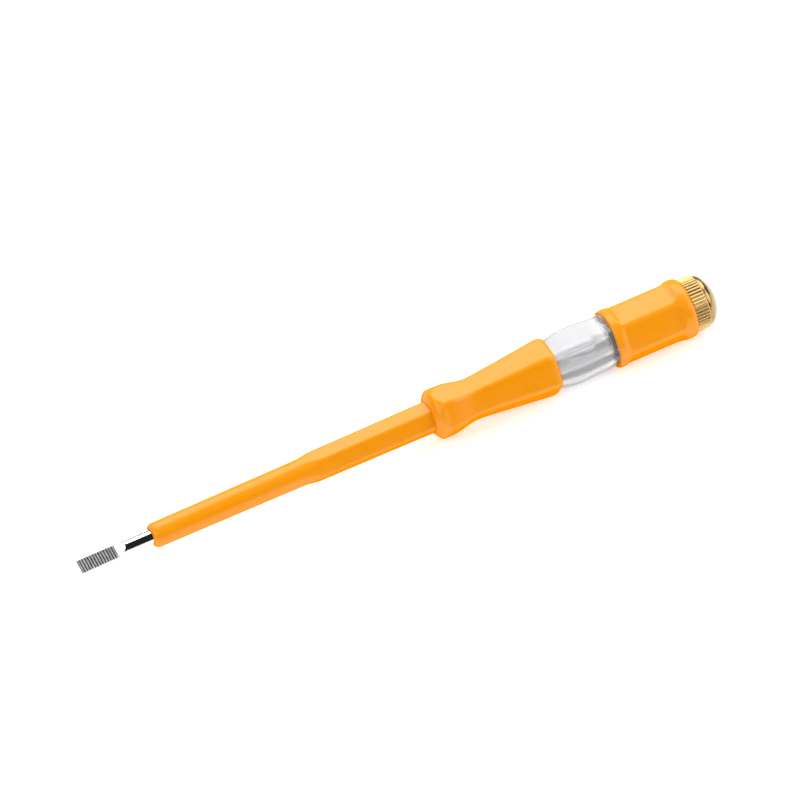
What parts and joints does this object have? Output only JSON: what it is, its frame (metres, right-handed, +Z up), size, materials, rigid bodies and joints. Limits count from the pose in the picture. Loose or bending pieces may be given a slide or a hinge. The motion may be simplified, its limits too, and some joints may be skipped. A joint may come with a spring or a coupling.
{
  "type": "neon mains tester screwdriver",
  "caption": "Slim flat-blade screwdriver with an insulated shaft, a clear window over a neon lamp and a screwed metal touch cap that tests for mains voltage.",
  "frame": {"origin": "middle of the blade's tip face, on the tool's axis", "axes": "+X along the tool from the blade's tip to the touch cap, +Z up, square to one pair of the handle's six flats"},
  "size_m": [0.19, 0.0168, 0.0168],
  "materials": {
    "blade_steel": "chromed rod, ground and ridged blade tip",
    "orange_sleeve": "smooth moulded insulation",
    "orange_grip": "smooth moulded grip",
    "clear_plastic": "clear moulded plastic",
    "plated_insert": "turned brass, nickel-plated",
    "brass_plunger": "turned brass",
    "brass_cap": "turned and polished, straight knurl",
    "resistor_ceramic": "fired",
    "resistor_lacquer": "baked lacquer",
    "tinned_cap": "tinned",
    "lamp_glass": "clear glass",
    "lamp_wire": "drawn wire",
    "lamp_electrode": "dull nickel",
    "spring_steel": "nickelled spring wire"
  },
  "bodies": {
    "handle": {"blade_shaft": "blade_steel", "shaft_sleeve": "orange_sleeve", "front_grip": "orange_grip", "rear_grip": "orange_grip", "clear_barrel": "clear_plastic", "thread_insert": "plated_insert", "resistor_core": "resistor_ceramic", "resistor_coat": "resistor_lacquer", "resistor_front_cap": "tinned_cap", "resistor_rear_cap": "tinned_cap", "lamp_glass": "lamp_glass", "lamp_front_cap": "tinned_cap", "lamp_rear_cap": "tinned_cap", "lamp_front_lead": "lamp_wire", "lamp_rear_lead": "lamp_wire", "lamp_front_electrode": "lamp_electrode", "lamp_rear_electrode": "lamp_electrode", "contact_spring": "spring_steel"},
    "plunger": {"spring_plunger": "brass_plunger"},
    "cap": {"touch_cap": "brass_cap"}
  },
  "joints": [
    {"name": "cap_travel", "type": "slide", "parent": "handle", "child": "plunger", "axis": [1, 0, 0], "range_m": [0, 0.006], "deforming": ["contact_spring"]},
    {"name": "cap_turn", "type": "hinge", "parent": "plunger", "child": "cap", "pos_m": [0.18, 0, 0], "axis": [1, 0, 0], "range_deg": [0, 2160]}
  ],
  "couplings": [
    {"joint": "cap_turn", "follows": "cap_travel", "rad_per_m": 6283.2}
  ]
}
